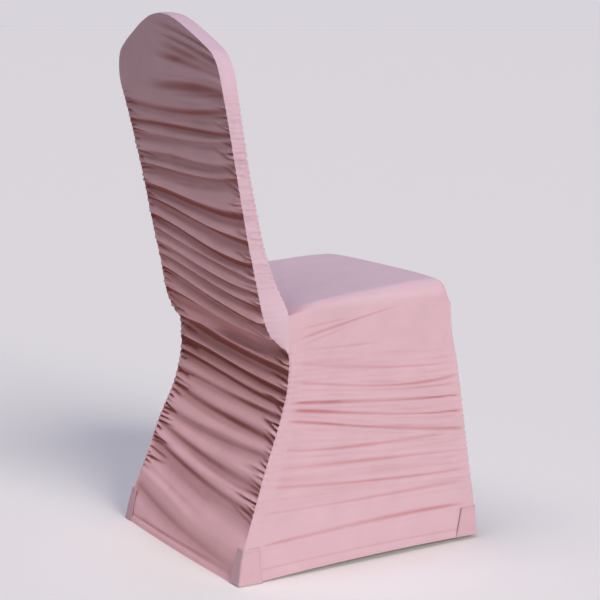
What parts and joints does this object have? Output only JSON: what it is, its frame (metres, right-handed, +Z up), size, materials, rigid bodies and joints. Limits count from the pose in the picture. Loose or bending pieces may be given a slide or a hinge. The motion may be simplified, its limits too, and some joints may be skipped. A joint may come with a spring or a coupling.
{
  "type": "ruched chair cover",
  "caption": "Fitted stretch cover for a banquet chair, hollow, ruched across the back and skirt.",
  "frame": {"origin": "on the floor line below the middle of the cover, at the hem's level", "axes": "+Z up to the crown, -Y the way a sitter faces, +X the cover's left hand seen from behind"},
  "size_m": [0.4502, 0.5327, 0.9576],
  "materials": {
    "knit_back": "matte blush stretch knit, ruched",
    "knit_band": "matte blush stretch knit, finely gathered",
    "knit_inner": "matte blush stretch knit",
    "knit_seat": "matte blush stretch knit, smooth on the seat",
    "knit_skirt": "matte blush stretch knit",
    "knit_pocket": "matte blush stretch knit, double at the feet"
  },
  "bodies": {
    "root": {"back_panel": "knit_back", "back_band": "knit_band", "inner_back": "knit_inner", "seat_and_sides": "knit_seat", "front_skirt": "knit_skirt", "foot_pocket_rear_right": "knit_pocket", "foot_pocket_rear_left": "knit_pocket", "foot_pocket_front_right": "knit_pocket", "foot_pocket_front_left": "knit_pocket"}
  },
  "joints": []
}
